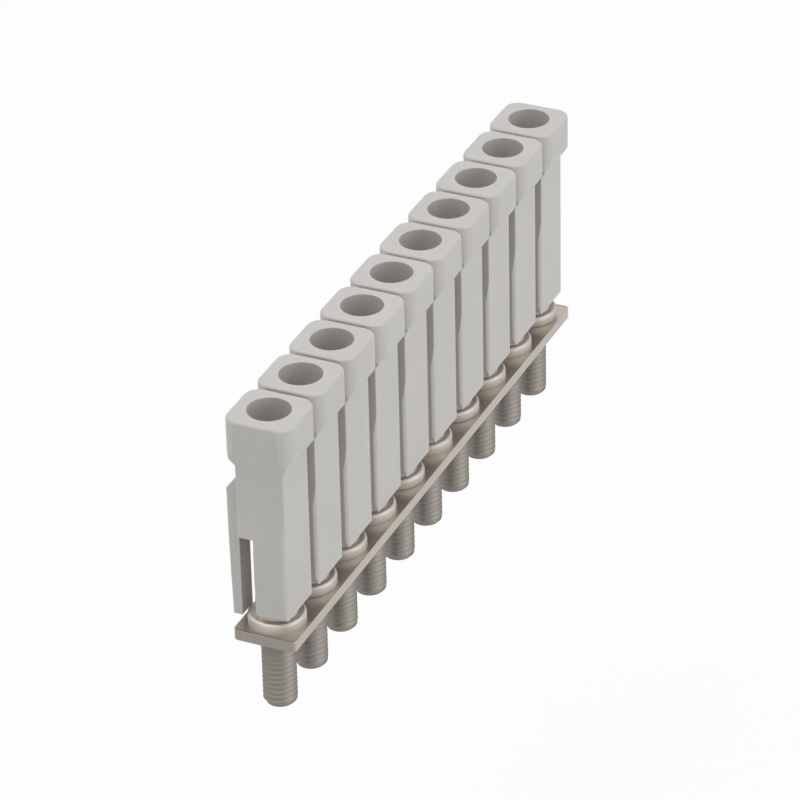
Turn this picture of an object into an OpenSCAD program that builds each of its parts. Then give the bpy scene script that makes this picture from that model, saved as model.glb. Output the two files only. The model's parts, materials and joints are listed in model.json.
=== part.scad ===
// Screw-down jumper bar for a row of terminal blocks.
// A flat metal bar carries one captive screw per pole, and each screw
// head stands inside its own moulded insulating sleeve.
// Millimetres. X runs along the row, Z points up the screws.
// The origin is the middle of the bar's underside.

/* [Row] */
// Distance from one pole to the next
pitch = 6.2; // [6.0:0.1:7.2]
// Free gap between the heads of neighbouring sleeves
sleeve_gap = 0.4; // [0.2:0.05:0.6]

/* [Bar] */
// Width of the bar across the row
bar_w = 5.8; // [5.0:0.1:7.0]
// Thickness of the bar
bar_t = 1.0; // [0.8:0.1:2.0]
// Length of bar past the axis of the first and last poles
bar_over = 2.8; // [2.4:0.1:3.5]
// Corner radius at the bar's two ends
bar_corner_r = 0.5; // [0.2:0.1:1.0]

/* [Screw thread] */
// Outside diameter of the thread
thread_d = 3.0; // [2.6:0.1:3.4]
// Reach of the screw below the bar's underside
thread_reach = 7.2; // [4:0.2:10]
// Depth of the relief that keeps the screw captive in the bar
relief_depth = 0.3; // [0.2:0.05:0.5]
// Length of relief left showing under the bar
relief_below = 0.4; // [0.2:0.1:0.8]
// Chamfer at the screw's tip and where the thread starts
tip_chamfer = 0.3; // [0.2:0.1:0.8]
// Running clearance between the relieved shank and the bar's hole
shank_play = 0.05; // [0.02:0.01:0.1]

/* [Screw head] */
// Thickness of the flange that bears on the bar
flange_t = 1.0; // [0.6:0.1:1.5]
// Reach of the flange past the drum of the head
flange_rim = 0.7; // [0.4:0.05:0.8]
// Chamfer around the flange's upper rim
flange_chamfer = 0.2; // [0.1:0.05:0.3]
// Height of the head above its groove
crown_h = 4.0; // [1.8:0.1:4.4]
// Chamfer around the top of the head
head_chamfer = 0.25; // [0.1:0.05:0.4]
// Width of the driver slot
slot_w = 0.8; // [0.5:0.1:1.0]
// Depth of the driver slot
slot_depth = 1.4; // [0.8:0.1:1.7]
// Turn of each screw's slot against the one before it
slot_step = 36; // [0:6:90]

/* [Snap fit of sleeve on screw] */
// Running clearance between the turning head and the sleeve
turn_play = 0.08; // [0.03:0.01:0.1]
// Overlap of the sleeve's inner lip with the drum of the head
lip_grip = 0.25; // [0.15:0.05:0.35]
// Height of the sleeve's inner lip
lip_h = 0.7; // [0.5:0.1:1.0]
// Height of the lip above the sleeve's foot
lip_rise = 0.6; // [0.4:0.1:1.0]
// Free height of the groove above the lip
lip_play = 0.1; // [0.05:0.05:0.2]

/* [Sleeve bore] */
// Diameter of the driver bore
bore_d = 3.0; // [2.6:0.1:3.4]
// Step from the driver bore out to the chamber round the screw's head
chamber_step = 0.4; // [0.3:0.05:0.5]
// Free height between the screw's head and that step
head_room = 2.1; // [0.3:0.1:2.6]
// Step from the driver bore out to the wider well at the top
well_step = 0.4; // [0.3:0.05:0.6]
// Depth of that well, down to the cone that leads into the bore
well_depth = 2.4; // [1.5:0.1:3.0]

/* [Sleeve body] */
// Top of the sleeve above the bar
sleeve_top = 20.8; // [18:0.2:26]
// Foot of the sleeve above the bar
sleeve_foot = 1.8; // [1.6:0.1:2.6]
// Size of the body across the row
body_y = 4.4; // [4.3:0.1:5.0]
// Free gap between the bodies of neighbouring sleeves
body_gap = 1.0; // [0.6:0.05:1.2]
// Corner radius of the body
body_r = 0.4; // [0.2:0.05:0.6]
// Width of the neck along the row
neck_x = 4.7; // [4.2:0.1:4.9]
// Height of the flare from the neck out to the body's full width
flare_h = 2.2; // [1.5:0.1:4]
// Wall beside the chamber at the foot
wall_foot = 0.5; // [0.3:0.05:0.55]
// Height of the taper from the body in to the foot
foot_taper_h = 0.8; // [0.5:0.1:2]

/* [Sleeve head] */
// Size of the sleeve's head across the row
head_y = 6.2; // [5.8:0.1:6.6]
// Corner radius of the sleeve's head
head_r = 1.3; // [0.8:0.1:2.0]
// Rounding of the head's upper rim
rim_r = 0.3; // [0.2:0.05:0.6]
// Height of the head's upright sides
head_side_h = 3.2; // [2.5:0.1:5]
// Height of the slopes under the head
head_slope_h = 1.4; // [1:0.1:2.5]
// Length of straight neck under the slopes
neck_h = 4.4; // [1:0.1:5]

/* [Sleeve mouth and leg] */
// Distance from the screw's axis to the edges of the open mouth
mouth_y = 0.7; // [0.65:0.05:1.4]
// Width of the spring leg along the row
leg_w = 2.0; // [1.4:0.1:2.6]
// Thickness of the leg
leg_t = 1.0; // [0.6:0.05:1.2]
// Free gap between the chamber's radius and the leg
leg_gap = 0.88; // [0.8:0.02:1.0]
// Distance that the leg's outer face bows in at its tip
leg_bow = 0.2; // [0.1:0.05:0.4]
// Height of the leg's tip above the bar
leg_tip = 0.4; // [0.3:0.1:2]
// Drop from the head's slopes to the top of the leg's shoulder
shoulder_drop = 1.2; // [0.2:0.1:2]
// Height of the sloping shoulder that carries the leg
shoulder_h = 2.1; // [1.4:0.1:3]

/* [Hidden] */
poles = 10;
row_l = (poles - 1) * pitch;
first_x = -row_l / 2;
bar_l = row_l + 2 * bar_over;
shank_d = thread_d - 2 * relief_depth;
hole_d = shank_d + 2 * shank_play;
thread_top = -relief_below;
thread_end = -thread_reach;
chamber_d = bore_d + 2 * chamber_step;
drum_d = chamber_d - 2 * turn_play;
flange_d = drum_d + 2 * flange_rim;
lip_d = drum_d - 2 * lip_grip;
groove_d = lip_d - 2 * turn_play;
lip_base = bar_t + sleeve_foot + lip_rise;
lip_end = lip_base + lip_h;
groove_end = lip_end + lip_play;
head_end = groove_end + crown_h;
chamber_end = head_end + head_room;
foot_z = bar_t + sleeve_foot;
top_z = bar_t + sleeve_top;
well_z = top_z - well_depth;
side_z = top_z - head_side_h;
slope_z = side_z - head_slope_h;
neck_z = slope_z - neck_h;
flare_z = neck_z - flare_h;
taper_z = foot_z + foot_taper_h;
shoulder_z = slope_z - shoulder_drop;
leg_z = shoulder_z - shoulder_h;
tip_z = bar_t + leg_tip;
head_x = pitch - sleeve_gap;
body_x = pitch - body_gap;
foot_x = chamber_d + 2 * wall_foot;
leg_in = chamber_d / 2 + leg_gap;
leg_out = leg_in + leg_t;
leg_root = (bore_d + body_y) / 4;
leg_slope = shoulder_h / (leg_out - body_y / 2);
leg_steps = 6;
rim_steps = 3;
quarter = 90;
over = 1;
round_fn = 64;
plated = [0.62, 0.58, 0.54];
zinc = [0.60, 0.60, 0.60];
moulded = [0.76, 0.76, 0.74];

// Moves a piece to the axis of one pole, counted from zero
module at_pole(i) {
  translate([first_x + i * pitch, 0, 0])
    children();
}

// Upright block with four round corners, standing on z = 0
module round_block(x, y, h, r) {
  translate([-x / 2, -y / 2 + r, 0])
    cube([x, y - 2 * r, h]);
  translate([-x / 2 + r, -y / 2, 0])
    cube([x - 2 * r, y, h]);
  for (sx = [-1, 1], sy = [-1, 1])
    translate([sx * (x / 2 - r), sy * (y / 2 - r), 0])
      cylinder(r = r, h = h, $fn = round_fn);
}

// Flat bar with one plain hole per pole, at the thread's minor diameter
module bar_solid() {
  difference() {
    round_block(bar_l, bar_w, bar_t, bar_corner_r);
    for (i = [0 : poles - 1])
      at_pole(i)
        translate([0, 0, -over])
          cylinder(d = hole_d, h = bar_t + 2 * over, $fn = round_fn);
  }
}

// Outline of the screw turned about its axis, from tip to head
module screw_profile() {
  polygon([
    [0, thread_end],
    [thread_d / 2 - tip_chamfer, thread_end],
    [thread_d / 2, thread_end + tip_chamfer],
    [thread_d / 2, thread_top - relief_depth],
    [shank_d / 2, thread_top],
    [shank_d / 2, bar_t],
    [flange_d / 2, bar_t],
    [flange_d / 2, bar_t + flange_t - flange_chamfer],
    [flange_d / 2 - flange_chamfer, bar_t + flange_t],
    [drum_d / 2, bar_t + flange_t],
    [drum_d / 2, lip_base],
    [groove_d / 2, lip_base],
    [groove_d / 2, groove_end],
    [drum_d / 2, groove_end],
    [drum_d / 2, head_end - head_chamfer],
    [drum_d / 2 - head_chamfer, head_end],
    [0, head_end]
  ]);
}

// Captive screw with a slotted head
module screw_solid(turn) {
  difference() {
    rotate_extrude($fn = round_fn)
      screw_profile();
    rotate([0, 0, turn])
      translate([-drum_d, -slot_w / 2, head_end - slot_depth])
        cube([2 * drum_d, slot_w, slot_depth + over]);
  }
}

// Points of the rounded rim, at half width w and height h
function rim_points(w, h) = [
  for (k = [0 : rim_steps])
    [w - rim_r * (1 - cos(quarter * k / rim_steps)), h - rim_r * (1 - sin(quarter * k / rim_steps))]
];

// Round corner post with a rounded upper rim
module rimmed_post(r, h) {
  rotate_extrude($fn = round_fn)
    polygon(concat([[0, 0], [r, 0]], rim_points(r, h), [[0, h]]));
}

// Slab along Y with both upper edges rounded
module rimmed_slab(w, l, h) {
  right = rim_points(w / 2, h);
  left = [for (k = [rim_steps : -1 : 0]) [-right[k].x, right[k].y]];
  rotate([quarter, 0, 0])
    linear_extrude(height = l, center = true)
      polygon(concat([[w / 2, 0]], right, left, [[-w / 2, 0]]));
}

// Block with round corners and a rounded upper rim, standing on z = 0
module rimmed_block(x, y, h, r) {
  rimmed_slab(x, y - 2 * r, h);
  rotate([0, 0, quarter])
    rimmed_slab(y, x - 2 * r, h);
  for (sx = [-1, 1], sy = [-1, 1])
    translate([sx * (x / 2 - r), sy * (y / 2 - r), 0])
      rimmed_post(r, h);
}

// Both halves of an upright outline, from its half widths and heights
function mirrored(half) = concat(half, [for (k = [len(half) - 1 : -1 : 0]) [-half[k].x, half[k].y]]);

// Sleeve seen along Y: foot taper, body, flare, neck and head
module front_outline() {
  polygon(mirrored([
    [foot_x / 2, foot_z],
    [body_x / 2, taper_z],
    [body_x / 2, flare_z],
    [neck_x / 2, neck_z],
    [neck_x / 2, slope_z],
    [head_x / 2, side_z],
    [head_x / 2, top_z + over]
  ]));
}

// Sleeve seen along X: flat body and head
module side_outline() {
  polygon(mirrored([
    [body_y / 2, foot_z],
    [body_y / 2, slope_z],
    [head_y / 2, side_z],
    [head_y / 2, top_z + over]
  ]));
}

// Sleeve seen from above: a round-cornered head over a round-cornered body
module plan_blocks() {
  translate([0, 0, slope_z])
    rimmed_block(head_x, head_y, top_z - slope_z, head_r);
  translate([0, 0, foot_z])
    round_block(body_x, body_y, slope_z - foot_z + over, body_r);
}

// Outer form of the sleeve, where its three outlines cross
module sleeve_block() {
  intersection() {
    rotate([quarter, 0, 0])
      linear_extrude(height = head_y + 2 * over, center = true)
        front_outline();
    rotate([quarter, 0, quarter])
      linear_extrude(height = head_x + 2 * over, center = true)
        side_outline();
    plan_blocks();
  }
}

// Point on the leg's outer face, a share t of the way down to its tip
function leg_point(t) = [leg_out - leg_bow * t * t, leg_z - (leg_z - tip_z) * t];

// Side outline of the leg: a sloping shoulder, a rib on the body, then a free hanging end
module leg_profile() {
  outer = [for (k = [0 : leg_steps]) leg_point(k / leg_steps)];
  polygon(concat(
    [[leg_root, shoulder_z + (body_y / 2 - leg_root) * leg_slope]],
    outer,
    [[leg_in, tip_z], [leg_in, chamber_end], [leg_root, chamber_end]]
  ));
}

// Spring leg on the sleeve's far side
module sleeve_leg() {
  rotate([quarter, 0, quarter])
    linear_extrude(height = leg_w, center = true)
      leg_profile();
}

// Open side of the chamber, where the sleeve clips over the screw's head
module sleeve_mouth() {
  translate([-body_x, mouth_y, foot_z - over])
    cube([2 * body_x, body_y, chamber_end - foot_z + over]);
}

// Bore of the sleeve, with the snap lip left standing near the foot
module sleeve_bore_profile() {
  polygon([
    [0, foot_z - over],
    [chamber_d / 2, foot_z - over],
    [chamber_d / 2, lip_base],
    [lip_d / 2, lip_base],
    [lip_d / 2, lip_end],
    [chamber_d / 2, lip_end],
    [chamber_d / 2, chamber_end],
    [bore_d / 2, chamber_end],
    [bore_d / 2, well_z - well_step],
    [bore_d / 2 + well_step, well_z],
    [bore_d / 2 + well_step, top_z + over],
    [0, top_z + over]
  ]);
}

// Insulating sleeve, moulded in one piece
module sleeve_solid() {
  difference() {
    sleeve_block();
    rotate_extrude($fn = round_fn)
      sleeve_bore_profile();
    sleeve_mouth();
  }
  sleeve_leg();
}

module jumper_bar() {
  color(plated)
    bar_solid();
}

module screw_01() {
  color(zinc)
    at_pole(0)
      screw_solid(0 * slot_step);
}

module screw_02() {
  color(zinc)
    at_pole(1)
      screw_solid(1 * slot_step);
}

module screw_03() {
  color(zinc)
    at_pole(2)
      screw_solid(2 * slot_step);
}

module screw_04() {
  color(zinc)
    at_pole(3)
      screw_solid(3 * slot_step);
}

module screw_05() {
  color(zinc)
    at_pole(4)
      screw_solid(4 * slot_step);
}

module screw_06() {
  color(zinc)
    at_pole(5)
      screw_solid(5 * slot_step);
}

module screw_07() {
  color(zinc)
    at_pole(6)
      screw_solid(6 * slot_step);
}

module screw_08() {
  color(zinc)
    at_pole(7)
      screw_solid(7 * slot_step);
}

module screw_09() {
  color(zinc)
    at_pole(8)
      screw_solid(8 * slot_step);
}

module screw_10() {
  color(zinc)
    at_pole(9)
      screw_solid(9 * slot_step);
}

module sleeve_01() {
  color(moulded)
    at_pole(0)
      sleeve_solid();
}

module sleeve_02() {
  color(moulded)
    at_pole(1)
      sleeve_solid();
}

module sleeve_03() {
  color(moulded)
    at_pole(2)
      sleeve_solid();
}

module sleeve_04() {
  color(moulded)
    at_pole(3)
      sleeve_solid();
}

module sleeve_05() {
  color(moulded)
    at_pole(4)
      sleeve_solid();
}

module sleeve_06() {
  color(moulded)
    at_pole(5)
      sleeve_solid();
}

module sleeve_07() {
  color(moulded)
    at_pole(6)
      sleeve_solid();
}

module sleeve_08() {
  color(moulded)
    at_pole(7)
      sleeve_solid();
}

module sleeve_09() {
  color(moulded)
    at_pole(8)
      sleeve_solid();
}

module sleeve_10() {
  color(moulded)
    at_pole(9)
      sleeve_solid();
}

jumper_bar();
screw_01();
screw_02();
screw_03();
screw_04();
screw_05();
screw_06();
screw_07();
screw_08();
screw_09();
screw_10();
sleeve_01();
sleeve_02();
sleeve_03();
sleeve_04();
sleeve_05();
sleeve_06();
sleeve_07();
sleeve_08();
sleeve_09();
sleeve_10();
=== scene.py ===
"""Dresses a screw-down jumper bar for a row of terminal blocks.

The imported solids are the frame. The moulded sleeves and the plated bar keep
their own solids and get rounded edges and finishes. Each screw keeps its head
and gets a cut helical thread in place of its plain shaft.
"""

from __future__ import annotations

import json
import logging
import math
from abc import ABC, abstractmethod
from dataclasses import dataclass, field
from enum import Enum
from typing import Any, Optional, Union

import bmesh
import bpy
from mathutils import Matrix, Vector

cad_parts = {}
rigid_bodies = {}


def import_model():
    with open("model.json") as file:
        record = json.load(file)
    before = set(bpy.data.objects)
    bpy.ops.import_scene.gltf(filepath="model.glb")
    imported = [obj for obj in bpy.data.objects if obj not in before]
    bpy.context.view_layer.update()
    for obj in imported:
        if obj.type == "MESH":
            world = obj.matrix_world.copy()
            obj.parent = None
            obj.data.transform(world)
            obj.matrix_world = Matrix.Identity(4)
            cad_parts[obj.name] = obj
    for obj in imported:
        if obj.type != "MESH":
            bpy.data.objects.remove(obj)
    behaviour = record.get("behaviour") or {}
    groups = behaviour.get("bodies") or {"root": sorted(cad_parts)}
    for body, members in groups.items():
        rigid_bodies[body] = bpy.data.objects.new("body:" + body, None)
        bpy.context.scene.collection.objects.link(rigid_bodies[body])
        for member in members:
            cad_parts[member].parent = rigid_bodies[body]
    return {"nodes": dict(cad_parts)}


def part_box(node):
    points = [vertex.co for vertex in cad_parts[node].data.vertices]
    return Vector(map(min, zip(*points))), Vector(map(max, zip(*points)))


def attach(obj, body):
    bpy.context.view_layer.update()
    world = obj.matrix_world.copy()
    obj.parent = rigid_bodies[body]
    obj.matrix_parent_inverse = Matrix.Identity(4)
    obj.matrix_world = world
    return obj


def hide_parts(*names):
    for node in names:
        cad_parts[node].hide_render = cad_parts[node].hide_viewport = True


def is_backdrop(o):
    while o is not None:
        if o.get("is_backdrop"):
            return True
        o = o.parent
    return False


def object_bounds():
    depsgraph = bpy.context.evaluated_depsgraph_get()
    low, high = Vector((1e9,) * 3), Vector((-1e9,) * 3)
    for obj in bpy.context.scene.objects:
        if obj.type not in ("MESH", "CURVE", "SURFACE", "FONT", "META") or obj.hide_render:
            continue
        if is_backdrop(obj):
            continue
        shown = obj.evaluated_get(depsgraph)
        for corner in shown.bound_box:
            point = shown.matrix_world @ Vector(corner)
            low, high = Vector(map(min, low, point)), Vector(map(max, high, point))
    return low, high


LOG = logging.getLogger("jumper_bar")
MM = 0.001
MERGE_MM = 0.001
NOISE_MIDDLE = 0.5
UP = Vector((0.0, 0.0, 1.0))
DOWN = Vector((0.0, 0.0, -1.0))

Colour = tuple[float, float, float]
Nodes = dict[str, bpy.types.Object]
Value = Union["Wire", int, float, tuple, Vector]


class Stem(Enum):
    """The first part of the names of nodes that repeat along the row."""

    SCREW = "screw_"
    SLEEVE = "sleeve_"


class Axis(Enum):
    """The axes that a finish can be graded along."""

    ROW = "X"
    HEIGHT = "Z"


class Wire:
    """A shader socket that takes Python arithmetic."""

    def __init__(self, graph: Graph, socket: Optional[bpy.types.NodeSocket]) -> None:
        """Wraps one output socket of a graph."""
        self.graph = graph
        self.socket = socket

    def _math(self, operation: str, first: Value, second: Value) -> Wire:
        """Adds one Math node.

        Args:
            operation: The Math node's operation.
            first: Its first value.
            second: Its second value.

        Returns:
            The node's result.
        """
        settings = {"operation": operation}
        return self.graph.node("ShaderNodeMath", settings, {0: first, 1: second})

    def __add__(self, other: Value) -> Wire:
        """Adds a value."""
        return self._math("ADD", self, other)

    def __radd__(self, other: Value) -> Wire:
        """Adds this socket to a value."""
        return self._math("ADD", other, self)

    def __sub__(self, other: Value) -> Wire:
        """Takes a value away."""
        return self._math("SUBTRACT", self, other)

    def __rsub__(self, other: Value) -> Wire:
        """Takes this socket from a value."""
        return self._math("SUBTRACT", other, self)

    def __mul__(self, other: Value) -> Wire:
        """Multiplies by a value."""
        return self._math("MULTIPLY", self, other)

    def __rmul__(self, other: Value) -> Wire:
        """Multiplies a value by this socket."""
        return self._math("MULTIPLY", other, self)

    def __abs__(self) -> Wire:
        """Drops the sign."""
        return self.graph.node("ShaderNodeMath", {"operation": "ABSOLUTE"}, {0: self})

    def larger(self, other: Value) -> Wire:
        """Gives the larger of this socket and a value."""
        return self._math("MAXIMUM", self, other)


class Graph:
    """A node tree that is written as expressions."""

    def __init__(self, tree: bpy.types.NodeTree) -> None:
        """Takes over a node tree and empties it."""
        self.tree = tree
        self.tree.nodes.clear()

    def node(
        self,
        kind: str,
        settings: Optional[dict[str, Any]] = None,
        sockets: Optional[dict[Union[str, int], Value]] = None,
        output: Union[str, int] = 0,
    ) -> Wire:
        """Adds one node.

        Args:
            kind: The node's type.
            settings: Its own settings, set first; "stops" are a ramp's stops.
            sockets: The values or links of its inputs, by name or place.
            output: The output that is wanted, by name or place.

        Returns:
            That output, wrapped.
        """
        made = self.tree.nodes.new(kind)
        for name, setting in (settings or {}).items():
            if name == "stops":
                self._set_stops(made.color_ramp, setting)
            else:
                setattr(made, name, setting)
        for name, value in (sockets or {}).items():
            target = made.inputs[name]
            if isinstance(value, Wire):
                self.tree.links.new(value.socket, target)
            else:
                target.default_value = value
        return Wire(self, made.outputs[output] if made.outputs else None)

    @staticmethod
    def _set_stops(
        ramp: bpy.types.ColorRamp, stops: list[tuple[float, Colour]]
    ) -> None:
        """Gives a colour ramp its stops.

        Args:
            ramp: The ramp, which starts with two stops.
            stops: The place and colour of each stop, in order.
        """
        while len(ramp.elements) < len(stops):
            ramp.elements.new(1.0)
        for element, (place, colour) in zip(ramp.elements, stops):
            element.position = place
            element.color = (*colour, 1.0)

    def stretched(self, scale: tuple[float, float, float]) -> Wire:
        """Gives Object coordinates, stretched along the axes."""
        place = self.node("ShaderNodeTexCoord", output="Object")
        return self.node("ShaderNodeMapping", {}, {"Vector": place, "Scale": scale})

    def place(self, axis: Axis) -> Wire:
        """Gives the Object coordinate along one axis, in metres."""
        place = self.node("ShaderNodeTexCoord", output="Object")
        return self.node("ShaderNodeSeparateXYZ", {}, {"Vector": place}, axis.value)

    def graded(
        self, place: Wire, ends_mm: tuple[float, float], first: float, last: float
    ) -> Wire:
        """Gives a value that changes evenly between two places.

        Args:
            place: The coordinate, in metres.
            ends_mm: Where the change starts and ends.
            first: The value before it.
            last: The value after it.

        Returns:
            The graded value.
        """
        start, end = (limit * MM for limit in ends_mm)
        inputs = {
            "Value": place,
            "From Min": start,
            "From Max": end,
            "To Min": first,
            "To Max": last,
        }
        return self.node("ShaderNodeMapRange", {}, inputs)

    def scaled(self, colour: Wire, factor: Value) -> Wire:
        """Multiplies a colour by a value.

        Args:
            colour: The colour.
            factor: The value.

        Returns:
            The scaled colour.
        """
        inputs = {0: colour, "Scale": factor}
        return self.node("ShaderNodeVectorMath", {"operation": "SCALE"}, inputs)

    def noise(self, scale: tuple[float, float, float], detail: float = 2.0) -> Wire:
        """Gives a noise value from 0 to 1.

        Args:
            scale: Cells of noise per metre along each axis.
            detail: Octaves of noise.

        Returns:
            The noise value.
        """
        inputs = {"Vector": self.stretched(scale), "Scale": 1.0, "Detail": detail}
        return self.node("ShaderNodeTexNoise", {}, inputs, "Fac")

    def tinted(self, factor: Value, dark: Colour, light: Colour) -> Wire:
        """Gives a colour between two others.

        Args:
            factor: 0 for the dark colour, 1 for the light one.
            dark: The first colour.
            light: The second colour.

        Returns:
            The mixed colour.
        """
        settings = {"stops": [(0.0, dark), (1.0, light)]}
        return self.node("ShaderNodeValToRGB", settings, {"Fac": factor}, "Color")

    def bumped(self, height: Value, depth_mm: float, strength: float) -> Wire:
        """Gives a normal that follows a height.

        Args:
            height: The height, from 0 to 1.
            depth_mm: The depth that a height of 1 stands for.
            strength: The share of the bump that shows.

        Returns:
            The bent normal.
        """
        inputs = {"Height": height, "Distance": depth_mm * MM, "Strength": strength}
        return self.node("ShaderNodeBump", {}, inputs, "Normal")

    def seen(self) -> Wire:
        """Marks what the eye, a reflection or a clear piece looks at.

        Returns:
            1 for such a ray, 0 for one that carries light.
        """
        eye = self.node("ShaderNodeLightPath", output="Is Camera Ray")
        gloss = self.node("ShaderNodeLightPath", output="Is Glossy Ray")
        clear = self.node("ShaderNodeLightPath", output="Is Transmission Ray")
        return eye.larger(gloss).larger(clear)


class Finish(ABC):
    """A finish that makes one material."""

    name: str

    def material(self) -> bpy.types.Material:
        """Makes the material from the finish's own shader.

        Returns:
            The new material.
        """
        made = bpy.data.materials.new(self.name)
        made.use_nodes = True
        graph = Graph(made.node_tree)
        graph.node("ShaderNodeOutputMaterial", {}, {"Surface": self.shader(graph)})
        return made

    @abstractmethod
    def shader(self, graph: Graph) -> Wire:
        """Builds the shader.

        Args:
            graph: The node tree to build it in.

        Returns:
            The shader's output.
        """


@dataclass(frozen=True)
class MouldedPlastic(Finish):
    """Satin moulded plastic with faint flow marks and a fine grain."""

    name: str = "moulded_grey_plastic"
    dark: Colour = (0.50, 0.483, 0.459)
    light: Colour = (0.62, 0.603, 0.573)
    cloud_per_m: float = 160.0
    cloud_detail: float = 3.0
    cloud_share: float = 0.55
    flow_per_m: float = 1500.0
    flow_stretch: float = 0.06
    flow_share: float = 0.3
    flow_height: float = 0.5
    grain_per_m: float = 9000.0
    grain_share: float = 0.15
    grain_depth_mm: float = 0.006
    bump_strength: float = 0.5
    roughness: float = 0.42
    roughness_spread: float = 0.16
    specular: float = 0.42
    glow: float = 0.2
    glow_depth_mm: float = 0.8
    glow_reach: Colour = (1.0, 0.95, 0.9)

    def shader(self, graph: Graph) -> Wire:
        """Mixes clouding, flow marks and grain into one shader.

        Args:
            graph: The node tree to build it in.

        Returns:
            The shader's output.
        """
        cloud = graph.noise((self.cloud_per_m,) * 3, self.cloud_detail)
        along = self.flow_per_m * self.flow_stretch
        flow = graph.noise((self.flow_per_m, self.flow_per_m, along))
        grain = graph.noise((self.grain_per_m,) * 3)
        marks = cloud * self.cloud_share + flow * self.flow_share
        tone = marks + grain * self.grain_share
        relief = grain + flow * self.flow_height
        spread = self.roughness_spread * (grain - NOISE_MIDDLE)
        inputs = {
            "Base Color": graph.tinted(tone, self.dark, self.light),
            "Roughness": self.roughness + spread,
            "Specular IOR Level": self.specular,
            "Subsurface Weight": self.glow,
            "Subsurface Radius": self.glow_reach,
            "Subsurface Scale": self.glow_depth_mm * MM,
            "Normal": graph.bumped(relief, self.grain_depth_mm, self.bump_strength),
        }
        return graph.node("ShaderNodeBsdfPrincipled", {}, inputs, "BSDF")


@dataclass(frozen=True)
class PlatedMetal(Finish):
    """Plated metal with drawn or turned lines, dull patches, and painted shade on threads
    and end faces.
    """

    name: str = "plated_metal"
    dark: Colour = (0.40, 0.36, 0.32)
    light: Colour = (0.60, 0.55, 0.50)
    detail: float = 3.0
    lines_per_m: tuple[float, float, float] = (120.0, 6000.0, 6000.0)
    line_share: float = 0.45
    line_depth_mm: float = 0.004
    bump_strength: float = 0.6
    patch_per_m: float = 420.0
    patch_share: float = 0.55
    roughness: float = 0.34
    roughness_spread: float = 0.2
    # Painted shade: thread_shade darkens the thread below the bar, standing in for the
    # shade among its flanks.
    thread_shade: float = 1.0
    thread_ends_mm: tuple[float, float] = (-0.8, -0.2)
    # Painted shade: cut_shade darkens the bar's end faces, which face away from the lamps.
    cut_shade: float = 1.0
    cut_ends_mm: tuple[float, float] = (30.35, 30.65)

    def shader(self, graph: Graph) -> Wire:
        """Mixes lines and dull patches into one metal shader.

        Args:
            graph: The node tree to build it in.

        Returns:
            The shader's output.
        """
        lines = graph.noise(self.lines_per_m, self.detail)
        patch = graph.noise((self.patch_per_m,) * 3, self.detail)
        tone = lines * self.line_share + patch * self.patch_share
        bright = graph.tinted(tone, self.dark, self.light)
        spread = self.roughness_spread * (patch - NOISE_MIDDLE)
        inputs = {
            "Base Color": graph.scaled(bright, self._shade(graph)),
            "Metallic": 1.0,
            "Roughness": self.roughness + spread,
            "Normal": graph.bumped(lines, self.line_depth_mm, self.bump_strength),
        }
        return graph.node("ShaderNodeBsdfPrincipled", {}, inputs, "BSDF")

    def _shade(self, graph: Graph) -> Wire:
        """Gives the painted shade on the threads below the bar and on the bar's end faces.

        Args:
            graph: The node tree to build it in.

        Returns:
            The brightness, 1 where no shade is painted.
        """
        height = graph.place(Axis.HEIGHT)
        reach = abs(graph.place(Axis.ROW))
        # Painted shade on the thread below the bar, times painted shade on the bar's end
        # faces.
        thread = graph.graded(height, self.thread_ends_mm, self.thread_shade, 1.0)
        return thread * graph.graded(reach, self.cut_ends_mm, 1.0, self.cut_shade)


@dataclass(frozen=True)
class PaleGround(Finish):
    """Matt white ground that stays white to the eye and keeps a shadow."""

    name: str = "pale_ground"
    colour: Colour = (0.86, 0.86, 0.86)
    whiteness: float = 0.92

    def shader(self, graph: Graph) -> Wire:
        """Mixes a matt surface with white for what looks at it directly.

        Args:
            graph: The node tree to build it in.

        Returns:
            The shader's output.
        """
        matt = graph.node("ShaderNodeBsdfDiffuse", {}, {"Color": (*self.colour, 1.0)})
        white = graph.node("ShaderNodeEmission", {}, {"Strength": 1.0})
        mixed = {0: graph.seen() * self.whiteness, 1: matt, 2: white}
        return graph.node("ShaderNodeMixShader", {}, mixed)


def paint(piece: bpy.types.Object, material: bpy.types.Material) -> None:
    """Gives a piece one material all over."""
    piece.data.materials.clear()
    piece.data.materials.append(material)


def merged_copy(node: bpy.types.Object) -> bmesh.types.BMesh:
    """Copies a node's triangles into a bmesh with its seams merged.

    Args:
        node: The node's object.

    Returns:
        The merged copy.
    """
    mesh = bmesh.new()
    mesh.from_mesh(node.data)
    bmesh.ops.remove_doubles(mesh, verts=mesh.verts[:], dist=MERGE_MM * MM)
    return mesh


def cut_away(mesh: bmesh.types.BMesh, height_mm: float, outward: Vector) -> None:
    """Cuts away what lies past a height.

    Args:
        mesh: The mesh to cut, which is left open.
        height_mm: Height of the cut.
        outward: The way to what is cut away.
    """
    bmesh.ops.bisect_plane(
        mesh,
        geom=mesh.verts[:] + mesh.edges[:] + mesh.faces[:],
        plane_co=UP * (height_mm * MM),
        plane_no=outward,
        clear_outer=True,
    )


def finished_piece(name: str, mesh: bmesh.types.BMesh) -> bpy.types.Object:
    """Turns a bmesh into a smooth-shaded piece at the origin.

    Args:
        name: The piece's name.
        mesh: Its mesh, which is freed.

    Returns:
        The new object, linked to the scene.
    """
    data = bpy.data.meshes.new(name)
    mesh.to_mesh(data)
    mesh.free()
    data.shade_smooth()
    piece = bpy.data.objects.new(name, data)
    bpy.context.scene.collection.objects.link(piece)
    return piece


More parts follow.
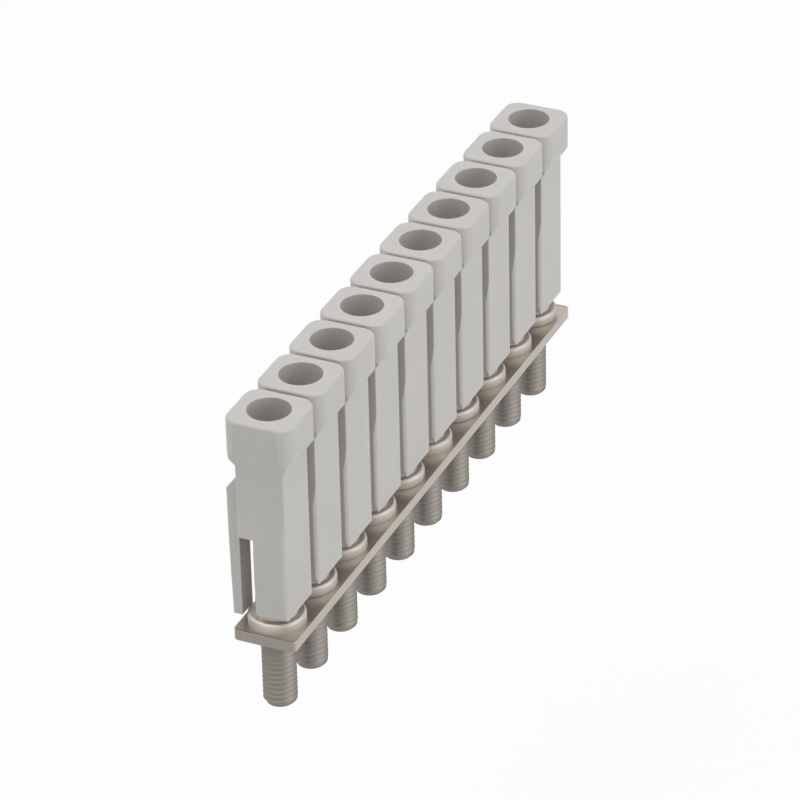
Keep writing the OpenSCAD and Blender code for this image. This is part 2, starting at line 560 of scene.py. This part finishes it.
@dataclass(frozen=True)
class RoundedEdge:
    """Small rounding on a node's hard edges."""

    width_mm: float
    angle_deg: float = 24.0
    flat_deg: float = 0.6
    segments: int = 3
    shade_weight: int = 90

    def add_to(self, node: bpy.types.Object) -> None:
        """Adds the modifiers that merge, flatten, round and shade a node.

        Args:
            node: The object that gets them.
        """
        weld = node.modifiers.new("merge_seams", "WELD")
        weld.merge_threshold = MERGE_MM * MM
        flats = node.modifiers.new("clean_flats", "DECIMATE")
        flats.decimate_type = "DISSOLVE"
        flats.angle_limit = math.radians(self.flat_deg)
        bevel = node.modifiers.new("round_edges", "BEVEL")
        bevel.width = self.width_mm * MM
        bevel.segments = self.segments
        bevel.limit_method = "ANGLE"
        bevel.angle_limit = math.radians(self.angle_deg)
        bevel.profile = 0.5
        bevel.use_clamp_overlap = True
        shade = node.modifiers.new("even_shading", "WEIGHTED_NORMAL")
        shade.weight = self.shade_weight
        shade.keep_sharp = False
        node.data.shade_smooth()


@dataclass
class SleeveRow:
    """The row of moulded insulating sleeves."""

    nodes: Nodes
    finish: Finish = field(default_factory=MouldedPlastic)
    edge: RoundedEdge = field(default_factory=lambda: RoundedEdge(width_mm=0.09))

    def dress(self) -> None:
        """Rounds and paints every sleeve."""
        material = self.finish.material()
        for name, node in sorted(self.nodes.items()):
            self.edge.add_to(node)
            paint(node, material)
            LOG.info("dressed %s", name)


@dataclass
class ContactBar:
    """The flat plated bar that joins the poles."""

    node: bpy.types.Object
    # Painted shade: the bar's end faces are darkened to 0.62 of their colour.
    finish: Finish = field(default_factory=lambda: PlatedMetal(cut_shade=0.62))
    edge: RoundedEdge = field(default_factory=lambda: RoundedEdge(width_mm=0.12))

    def dress(self) -> None:
        """Rounds and paints the bar."""
        self.edge.add_to(self.node)
        paint(self.node, self.finish.material())
        LOG.info("dressed %s", self.node.name)


@dataclass(frozen=True)
class ScrewThread:
    """Sizes of the screws' helical thread, in millimetres."""

    crest_r: float = 1.5
    root_r: float = 1.2
    pitch: float = 0.5
    crest_share: float = 0.14
    root_share: float = 0.26
    steps_per_turn: int = 40
    spare_turns: int = 2

    def tooth(self) -> list[tuple[float, float]]:
        """Outlines one tooth.

        Returns:
            The radius and height of each point of the outline.
        """
        flank = (1.0 - self.crest_share - self.root_share) / 2.0
        shares = [0.0, self.root_share, self.root_share + flank, 1.0 - flank, 1.0]
        radii = [self.root_r, self.root_r, self.crest_r, self.crest_r, self.root_r]
        return [(r, share * self.pitch) for r, share in zip(radii, shares)]

    def cut(self, x_mm: float, low_mm: float, high_mm: float) -> bmesh.types.BMesh:
        """Makes the open thread between two heights.

        Args:
            x_mm: Place of the screw's axis along the row.
            low_mm: Height of the screw's tip.
            high_mm: Height where the thread runs out.

        Returns:
            The thread, closed at the tip and open at the top.
        """
        mesh = bmesh.new()
        start = low_mm - self.pitch
        points = [Vector((x_mm + r, 0.0, start + z)) * MM for r, z in self.tooth()]
        verts = [mesh.verts.new(point) for point in points]
        edges = [mesh.edges.new(pair) for pair in zip(verts, verts[1:])]
        turns = math.ceil((high_mm - low_mm) / self.pitch) + self.spare_turns
        rise = UP * (self.pitch * MM / self.steps_per_turn)
        bmesh.ops.spin(
            mesh,
            geom=verts + edges,
            cent=Vector((x_mm * MM, 0.0, 0.0)),
            axis=UP,
            dvec=rise,
            angle=math.tau * turns,
            steps=self.steps_per_turn * turns,
            use_merge=False,
        )
        bmesh.ops.remove_doubles(mesh, verts=mesh.verts[:], dist=MERGE_MM * MM)
        cut_away(mesh, low_mm, DOWN)
        cut_away(mesh, high_mm, UP)
        self._taper_ends(mesh, x_mm, low_mm, high_mm)
        floor_z = (low_mm + self.pitch / 2.0) * MM
        tip = [e for e in mesh.edges if e.is_boundary and e.verts[0].co.z < floor_z]
        bmesh.ops.edgeloop_fill(mesh, edges=tip)
        return mesh

    def _taper_ends(
        self, mesh: bmesh.types.BMesh, x_mm: float, low_mm: float, high_mm: float
    ) -> None:
        """Runs the thread out to the root at the tip and at the top.

        Args:
            mesh: The thread.
            x_mm: Place of the screw's axis along the row.
            low_mm: Height of the tip.
            high_mm: Height of the run-out.
        """
        for vert in mesh.verts:
            offset = Vector((vert.co.x - x_mm * MM, vert.co.y))
            height = vert.co.z / MM
            room = min(height - low_mm, high_mm - height)
            limit = (self.root_r + max(room, 0.0)) * MM
            if offset.length > limit:
                offset *= limit / offset.length
                vert.co.x = x_mm * MM + offset.x
                vert.co.y = offset.y


@dataclass
class CaptiveScrew:
    """One captive screw with its slotted head and cut thread."""

    name: str
    node: bpy.types.Object
    slot: str = "screw_steel"
    thread: ScrewThread = field(default_factory=ScrewThread)
    run_out_mm: float = -0.4
    join_mm: float = -0.2
    edge_mm: float = 0.06
    edge_deg: float = 24.0
    edge_segments: int = 2
    flat_deg: float = 0.6

    def build(self) -> bpy.types.Object:
        """Makes the screw from its solid's head and a cut thread.

        Returns:
            The piece that stands for the screw's node.
        """
        low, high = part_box(self.name)
        x_mm = (low.x + high.x) / 2.0 / MM
        mesh = self._head()
        thread = self.thread.cut(x_mm, low.z / MM, self.run_out_mm)
        carrier = bpy.data.meshes.new(self.name + "_thread")
        thread.to_mesh(carrier)
        thread.free()
        mesh.from_mesh(carrier)
        bpy.data.meshes.remove(carrier)
        rims = [edge for edge in mesh.edges if edge.is_boundary]
        bmesh.ops.bridge_loops(mesh, edges=rims)
        bmesh.ops.recalc_face_normals(mesh, faces=mesh.faces[:])
        piece = finished_piece(self.name + "_threaded", mesh)
        shade = piece.modifiers.new("even_shading", "WEIGHTED_NORMAL")
        shade.keep_sharp = False
        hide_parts(self.name)
        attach(piece, self.name)
        return piece

    def _head(self) -> bmesh.types.BMesh:
        """Copies the solid above the thread and rounds its hard edges.

        Returns:
            The head and shank, open below.
        """
        mesh = merged_copy(self.node)
        cut_away(mesh, self.join_mm, DOWN)
        bmesh.ops.dissolve_limit(
            mesh,
            angle_limit=math.radians(self.flat_deg),
            verts=mesh.verts[:],
            edges=[edge for edge in mesh.edges if not edge.is_boundary],
        )
        hard = math.radians(self.edge_deg)
        inner = [edge for edge in mesh.edges if len(edge.link_faces) == 2]
        bmesh.ops.bevel(
            mesh,
            geom=[edge for edge in inner if edge.calc_face_angle() > hard],
            offset=self.edge_mm * MM,
            offset_type="OFFSET",
            affect="EDGES",
            segments=self.edge_segments,
            profile=0.5,
            material=-1,
            clamp_overlap=True,
        )
        return mesh


@dataclass
class ScrewSet:
    """All the captive screws along the row."""

    nodes: Nodes
    finish: Finish = field(
        default_factory=lambda: PlatedMetal(
            name="zinc_plated_steel",
            dark=(0.40, 0.364, 0.328),
            light=(0.66, 0.612, 0.56),
            lines_per_m=(900.0, 900.0, 5000.0),
            roughness=0.56,
            # Painted shade: the thread below the bar is darkened to 0.53 of its colour.
            thread_shade=0.53,
        )
    )

    def build(self) -> None:
        """Makes and paints every screw."""
        material = self.finish.material()
        for name, node in sorted(self.nodes.items()):
            piece = CaptiveScrew(name, node).build()
            paint(piece, material)
            LOG.info("built %s for %s", piece.name, name)


@dataclass(frozen=True)
class SoftLamp:
    """A square soft lamp that looks at the object."""

    name: str
    azimuth_deg: float
    elevation_deg: float
    watts: float
    distance_m: float = 0.7
    side_m: float = 0.7

    def light(self, aim: Vector) -> None:
        """Adds the lamp to the scene.

        Args:
            aim: The point that it is turned to.
        """
        data = bpy.data.lights.new(self.name, "AREA")
        data.energy = self.watts
        data.size = self.side_m
        lamp = bpy.data.objects.new(self.name, data)
        back = away(self.azimuth_deg, self.elevation_deg)
        lamp.location = aim + back * self.distance_m
        lamp.rotation_mode = "QUATERNION"
        lamp.rotation_quaternion = (-back).to_track_quat("-Z", "Y")
        bpy.context.scene.collection.objects.link(lamp)


def away(azimuth_deg: float, elevation_deg: float) -> Vector:
    """Gives the direction from the object to an eye or a lamp.

    Args:
        azimuth_deg: Turn round the object; 0 stands on its -Y side.
        elevation_deg: Height above the horizon.

    Returns:
        A vector of length 1.
    """
    turn = math.radians(azimuth_deg)
    rise = math.radians(elevation_deg)
    flat = math.cos(rise)
    return Vector((math.sin(turn) * flat, -math.cos(turn) * flat, math.sin(rise)))


@dataclass(frozen=True)
class Eye:
    """The camera, at the photograph's viewing angle."""

    azimuth_deg: float = -65.35
    elevation_deg: float = 31.0
    roll_deg: float = -1.342
    distance_mm: float = 398.8
    lens_mm: float = 203.0
    sensor_mm: float = 36.0
    aim_mm: tuple[float, float, float] = (-1.978, 0.0, 8.245)
    clip_mm: float = 10.0

    def look(self) -> None:
        """Makes the camera and gives it to the scene."""
        data = bpy.data.cameras.new("eye")
        data.lens = self.lens_mm
        data.sensor_width = self.sensor_mm
        data.clip_start = self.clip_mm * MM
        camera = bpy.data.objects.new("eye", data)
        back = away(self.azimuth_deg, self.elevation_deg)
        turn = math.radians(self.azimuth_deg)
        level = Vector((math.cos(turn), math.sin(turn), 0.0))
        upright = back.cross(level)
        roll = math.radians(self.roll_deg)
        right = level * math.cos(roll) + upright * math.sin(roll)
        up = upright * math.cos(roll) - level * math.sin(roll)
        place = Matrix((right, up, back)).transposed().to_4x4()
        place.translation = Vector(self.aim_mm) * MM + back * (self.distance_mm * MM)
        camera.matrix_world = place
        bpy.context.scene.collection.objects.link(camera)
        bpy.context.scene.camera = camera


@dataclass
class Studio:
    """The plain white studio round the object."""

    eye: Eye = field(default_factory=Eye)
    ground_drop_mm: float = 30.0
    ground_side_m: float = 6.0
    sky_strength: float = 0.42
    lamps: tuple[SoftLamp, ...] = (
        SoftLamp("top_lamp", azimuth_deg=-140.0, elevation_deg=72.0, watts=3.1),
        SoftLamp("side_lamp", azimuth_deg=4.0, elevation_deg=20.0, watts=1.9),
    )

    def build(self, low: Vector) -> None:
        """Adds the ground, the sky, the lamps and the camera.

        Args:
            low: Lowest corner of the object.
        """
        self._ground(low.z - self.ground_drop_mm * MM)
        self._sky()
        aim = Vector(self.eye.aim_mm) * MM
        for lamp in self.lamps:
            lamp.light(aim)
        self.eye.look()
        bpy.context.scene.view_settings.view_transform = "Standard"
        LOG.info("built the studio")

    def _ground(self, height: float) -> None:
        """Lays the ground.

        Args:
            height: Its height, in metres.
        """
        mesh = bmesh.new()
        side = self.ground_side_m / 2.0
        bmesh.ops.create_grid(mesh, x_segments=1, y_segments=1, size=side)
        bmesh.ops.translate(mesh, verts=mesh.verts[:], vec=UP * height)
        ground = finished_piece("ground", mesh)
        paint(ground, PaleGround().material())
        ground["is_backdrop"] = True

    def _sky(self) -> None:
        """Makes the sky white to the eye and softer as a light."""
        world = bpy.data.worlds.new("white_sky")
        world.use_nodes = True
        graph = Graph(world.node_tree)
        strength = graph.seen() * (1.0 - self.sky_strength) + self.sky_strength
        white = (1.0, 1.0, 1.0, 1.0)
        inputs = {"Color": white, "Strength": strength}
        sky = graph.node("ShaderNodeBackground", {}, inputs)
        graph.node("ShaderNodeOutputWorld", {}, {"Surface": sky})
        bpy.context.scene.world = world


def numbered(nodes: Nodes, stem: Stem) -> Nodes:
    """Picks the nodes whose names start with a stem."""
    return {name: nodes[name] for name in nodes if name.startswith(stem.value)}


def clear_scene() -> None:
    """Removes what a new scene starts with."""
    for thing in list(bpy.data.objects):
        bpy.data.objects.remove(thing)


def main() -> None:
    """Loads the frame, builds and dresses each piece, and sets the studio."""
    logging.basicConfig(level=logging.INFO, format="%(message)s")
    clear_scene()
    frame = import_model()
    solid_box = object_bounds()
    nodes = frame["nodes"]
    ContactBar(nodes["jumper_bar"]).dress()
    SleeveRow(numbered(nodes, Stem.SLEEVE)).dress()
    ScrewSet(numbered(nodes, Stem.SCREW)).build()
    Studio().build(solid_box[0])


if __name__ == "__main__":
    main()
